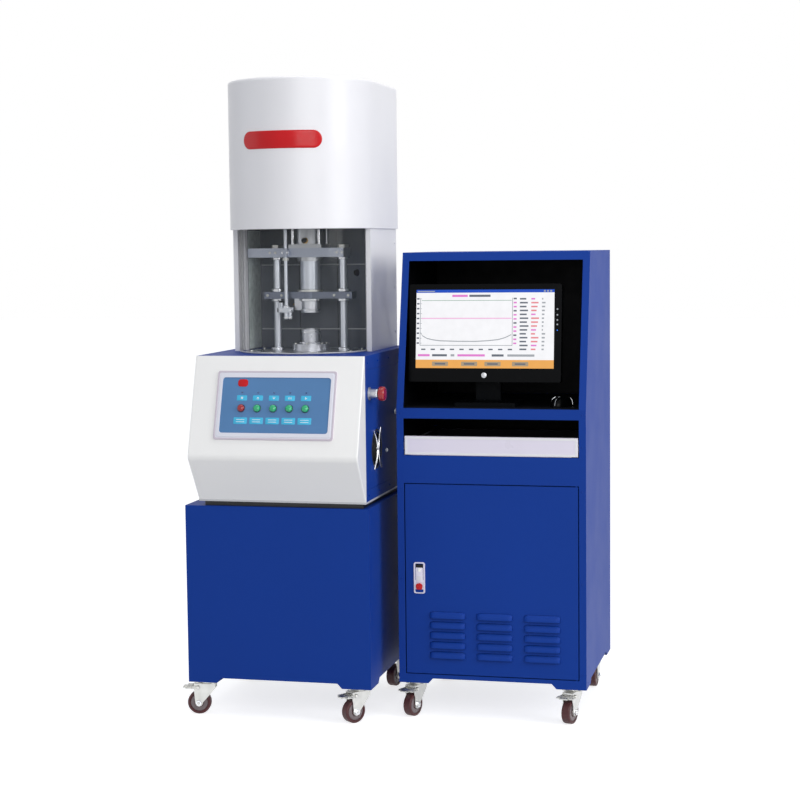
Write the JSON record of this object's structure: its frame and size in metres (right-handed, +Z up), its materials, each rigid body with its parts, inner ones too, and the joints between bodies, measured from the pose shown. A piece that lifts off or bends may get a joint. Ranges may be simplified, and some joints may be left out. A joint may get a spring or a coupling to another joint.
{
  "type": "mooney viscometer",
  "caption": "Rubber rotor viscometer: castored cabinet with a guarded heated die press and leaning control panel, beside a computer cabinet with monitor, keyboard drawer and door.",
  "frame": {"origin": "middle of the footprint on the floor, under both units", "axes": "+Z up, -Y is the front, +X to the right seen from the front"},
  "size_m": [1.2992, 0.8275, 2.03],
  "materials": {
    "blue_coat": "semi-gloss",
    "white_coat": "semi-gloss",
    "black_coat": "satin",
    "panel_face": "satin",
    "red_plastic": "gloss",
    "green_plastic": "gloss",
    "black_plastic": "matte",
    "screen_plastic": "gloss",
    "grey_metal": "satin",
    "bright_steel": "polished",
    "machined_steel": "machined",
    "zinc": "zinc plated",
    "castor_tyre": "satin",
    "castor_pedal": "satin",
    "guard_clear": "smoked clear"
  },
  "bodies": {
    "frame": {"castor_plates": "zinc", "tester_cabinet": "blue_coat", "plinth": "black_coat", "base_plate": "white_coat", "body_shell": "blue_coat", "front_hood": "white_coat", "control_panel": "panel_face", "estop_collar": "grey_metal", "fan_frame": "black_plastic", "inlet_panel": "grey_metal", "column_cover": "white_coat", "chamber_liner": "black_coat", "head_cover": "white_coat", "press_table": "machined_steel", "press_frame": "bright_steel", "air_cylinder": "grey_metal", "lower_die": "machined_steel", "drive_unit": "grey_metal", "computer_cabinet": "blue_coat", "drawer_runners": "zinc", "monitor_stand": "black_plastic", "mouse": "black_plastic", "computer_case": "black_coat"},
    "tester_castor_front_left": {"tester_fork_front_left": "zinc"},
    "tester_roller_front_left": {"tester_wheel_front_left": "castor_tyre"},
    "tester_brake_front_left": {"tester_pedal_front_left": "castor_pedal"},
    "tester_castor_front_right": {"tester_fork_front_right": "zinc"},
    "tester_roller_front_right": {"tester_wheel_front_right": "castor_tyre"},
    "tester_brake_front_right": {"tester_pedal_front_right": "castor_pedal"},
    "tester_castor_rear_left": {"tester_fork_rear_left": "zinc"},
    "tester_roller_rear_left": {"tester_wheel_rear_left": "castor_tyre"},
    "tester_castor_rear_right": {"tester_fork_rear_right": "zinc"},
    "tester_roller_rear_right": {"tester_wheel_rear_right": "castor_tyre"},
    "computer_castor_front_left": {"computer_fork_front_left": "zinc"},
    "computer_roller_front_left": {"computer_wheel_front_left": "castor_tyre"},
    "computer_brake_front_left": {"computer_pedal_front_left": "castor_pedal"},
    "computer_castor_front_right": {"computer_fork_front_right": "zinc"},
    "computer_roller_front_right": {"computer_wheel_front_right": "castor_tyre"},
    "computer_brake_front_right": {"computer_pedal_front_right": "castor_pedal"},
    "computer_castor_rear_left": {"computer_fork_rear_left": "zinc"},
    "computer_roller_rear_left": {"computer_wheel_rear_left": "castor_tyre"},
    "computer_castor_rear_right": {"computer_fork_rear_right": "zinc"},
    "computer_roller_rear_right": {"computer_wheel_rear_right": "castor_tyre"},
    "button_stop_cap": {"button_stop": "red_plastic"},
    "button_open_cap": {"button_open": "green_plastic"},
    "button_close_cap": {"button_close": "green_plastic"},
    "button_heat_cap": {"button_heat": "green_plastic"},
    "button_run_cap": {"button_run": "green_plastic"},
    "estop": {"estop_button": "red_plastic"},
    "fan": {"fan_rotor": "black_plastic"},
    "guard_shield": {"guard": "guard_clear"},
    "press_ram": {"crosshead": "bright_steel", "upper_die": "machined_steel"},
    "test_rotor": {"rotor": "machined_steel"},
    "cabinet_door": {"door": "blue_coat"},
    "door_handle": {"latch_handle": "black_plastic"},
    "door_button": {"latch_button": "red_plastic"},
    "keyboard_drawer": {"drawer": "white_coat", "keyboard": "black_plastic"},
    "screen": {"monitor": "screen_plastic"}
  },
  "joints": [
    {"name": "tester_castor_front_left_swivel", "type": "hinge", "parent": "frame", "child": "tester_castor_front_left", "pos_m": [-0.56839, -0.26324, 0.105], "axis": [0, 0, 1], "continuous": true},
    {"name": "tester_roller_front_left_roll", "type": "hinge", "parent": "tester_castor_front_left", "child": "tester_roller_front_left", "pos_m": [-0.59597, -0.2681, 0.0375], "axis": [0.1736, -0.9848, 0], "continuous": true},
    {"name": "tester_brake_front_left_tread", "type": "hinge", "parent": "tester_castor_front_left", "child": "tester_brake_front_left", "pos_m": [-0.59794, -0.26845, 0.088], "axis": [0.1736, -0.9848, 0], "range_deg": [0, 15]},
    {"name": "tester_castor_front_right_swivel", "type": "hinge", "parent": "frame", "child": "tester_castor_front_right", "pos_m": [-0.05939, -0.26324, 0.105], "axis": [0, 0, 1], "continuous": true},
    {"name": "tester_roller_front_right_roll", "type": "hinge", "parent": "tester_castor_front_right", "child": "tester_roller_front_right", "pos_m": [-0.07663, -0.28531, 0.0375], "axis": [0.788, -0.6157, 0], "continuous": true},
    {"name": "tester_brake_front_right_tread", "type": "hinge", "parent": "tester_castor_front_right", "child": "tester_brake_front_right", "pos_m": [-0.07786, -0.28688, 0.088], "axis": [0.788, -0.6157, 0], "range_deg": [0, 15]},
    {"name": "tester_castor_rear_left_swivel", "type": "hinge", "parent": "frame", "child": "tester_castor_rear_left", "pos_m": [-0.56839, 0.24076, 0.105], "axis": [0, 0, 1], "continuous": true},
    {"name": "tester_roller_rear_left_roll", "type": "hinge", "parent": "tester_castor_rear_left", "child": "tester_roller_rear_left", "pos_m": [-0.57229, 0.21303, 0.0375], "axis": [0.9903, -0.1392, 0], "continuous": true},
    {"name": "tester_castor_rear_right_swivel", "type": "hinge", "parent": "frame", "child": "tester_castor_rear_right", "pos_m": [-0.05939, 0.24076, 0.105], "axis": [0, 0, 1], "continuous": true},
    {"name": "tester_roller_rear_right_roll", "type": "hinge", "parent": "tester_castor_rear_right", "child": "tester_roller_rear_right", "pos_m": [-0.06569, 0.21347, 0.0375], "axis": [0.9744, -0.225, 0], "continuous": true},
    {"name": "computer_castor_front_left_swivel", "type": "hinge", "parent": "frame", "child": "computer_castor_front_left", "pos_m": [0.09761, -0.13824, 0.105], "axis": [0, 0, 1], "continuous": true},
    {"name": "computer_roller_front_left_roll", "type": "hinge", "parent": "computer_castor_front_left", "child": "computer_roller_front_left", "pos_m": [0.08803, -0.16455, 0.0375], "axis": [0.9397, -0.342, 0], "continuous": true},
    {"name": "computer_brake_front_left_tread", "type": "hinge", "parent": "computer_castor_front_left", "child": "computer_brake_front_left", "pos_m": [0.08735, -0.16643, 0.088], "axis": [0.9397, -0.342, 0], "range_deg": [0, 15]},
    {"name": "computer_castor_front_right_swivel", "type": "hinge", "parent": "frame", "child": "computer_castor_front_right", "pos_m": [0.60161, -0.13824, 0.105], "axis": [0, 0, 1], "continuous": true},
    {"name": "computer_roller_front_right_roll", "type": "hinge", "parent": "computer_castor_front_right", "child": "computer_roller_front_right", "pos_m": [0.59389, -0.16516, 0.0375], "axis": [0.9613, -0.2756, 0], "continuous": true},
    {"name": "computer_brake_front_right_tread", "type": "hinge", "parent": "computer_castor_front_right", "child": "computer_brake_front_right", "pos_m": [0.59334, -0.16708, 0.088], "axis": [0.9613, -0.2756, 0], "range_deg": [0, 15]},
    {"name": "computer_castor_rear_left_swivel", "type": "hinge", "parent": "frame", "child": "computer_castor_rear_left", "pos_m": [0.09761, 0.36576, 0.105], "axis": [0, 0, 1], "continuous": true},
    {"name": "computer_roller_rear_left_roll", "type": "hinge", "parent": "computer_castor_rear_left", "child": "computer_roller_rear_left", "pos_m": [0.09083, 0.33859, 0.0375], "axis": [0.9703, -0.2419, 0], "continuous": true},
    {"name": "computer_castor_rear_right_swivel", "type": "hinge", "parent": "frame", "child": "computer_castor_rear_right", "pos_m": [0.60161, 0.36576, 0.105], "axis": [0, 0, 1], "continuous": true},
    {"name": "computer_roller_rear_right_roll", "type": "hinge", "parent": "computer_castor_rear_right", "child": "computer_roller_rear_right", "pos_m": [0.60063, 0.33777, 0.0375], "axis": [0.9994, -0.0349, 0], "continuous": true},
    {"name": "button_stop_press", "type": "slide", "parent": "frame", "child": "button_stop_cap", "axis": [0, 0.9523, -0.3052], "range_m": [0, 0.004], "stiffness_N_per_m": 300, "springref_m": -0.001},
    {"name": "button_open_press", "type": "slide", "parent": "frame", "child": "button_open_cap", "axis": [0, 0.9523, -0.3052], "range_m": [0, 0.004], "stiffness_N_per_m": 300, "springref_m": -0.001},
    {"name": "button_close_press", "type": "slide", "parent": "frame", "child": "button_close_cap", "axis": [0, 0.9523, -0.3052], "range_m": [0, 0.004], "stiffness_N_per_m": 300, "springref_m": -0.001},
    {"name": "button_heat_press", "type": "slide", "parent": "frame", "child": "button_heat_cap", "axis": [0, 0.9523, -0.3052], "range_m": [0, 0.004], "stiffness_N_per_m": 300, "springref_m": -0.001},
    {"name": "button_run_press", "type": "slide", "parent": "frame", "child": "button_run_cap", "axis": [0, 0.9523, -0.3052], "range_m": [0, 0.004], "stiffness_N_per_m": 300, "springref_m": -0.001},
    {"name": "estop_push", "type": "slide", "parent": "frame", "child": "estop", "axis": [-1, 0, 0], "range_m": [0, 0.005]},
    {"name": "fan_spin", "type": "hinge", "parent": "frame", "child": "fan", "pos_m": [-0.03139, -0.17924, 0.858], "axis": [1, 0, 0], "continuous": true},
    {"name": "guard_lift", "type": "slide", "parent": "frame", "child": "guard_shield", "axis": [0, 0, 1], "range_m": [0, 0.3]},
    {"name": "press_close", "type": "slide", "parent": "frame", "child": "press_ram", "axis": [0, 0, -1], "range_m": [0, 0.0545]},
    {"name": "rotor_turn", "type": "hinge", "parent": "frame", "child": "test_rotor", "pos_m": [-0.29339, 0.03876, 1.14], "axis": [0, 0, 1], "continuous": true},
    {"name": "door_swing", "type": "hinge", "parent": "frame", "child": "cabinet_door", "pos_m": [0.61861, -0.18224, 0.447], "axis": [0, 0, 1], "range_deg": [0, 110]},
    {"name": "handle_lift", "type": "hinge", "parent": "cabinet_door", "child": "door_handle", "pos_m": [0.11911, -0.18574, 0.491], "axis": [-1, 0, 0], "range_deg": [0, 60]},
    {"name": "latch_press", "type": "slide", "parent": "cabinet_door", "child": "door_button", "axis": [0, 1, 0], "range_m": [0, 0.003], "stiffness_N_per_m": 200, "springref_m": -0.001},
    {"name": "drawer_slide", "type": "slide", "parent": "frame", "child": "keyboard_drawer", "axis": [0, -1, 0], "range_m": [0, 0.3]},
    {"name": "screen_tilt", "type": "hinge", "parent": "frame", "child": "screen", "pos_m": [0.31861, -0.03624, 1.19], "axis": [-1, 0, 0], "range_deg": [-8, 12]}
  ]
}
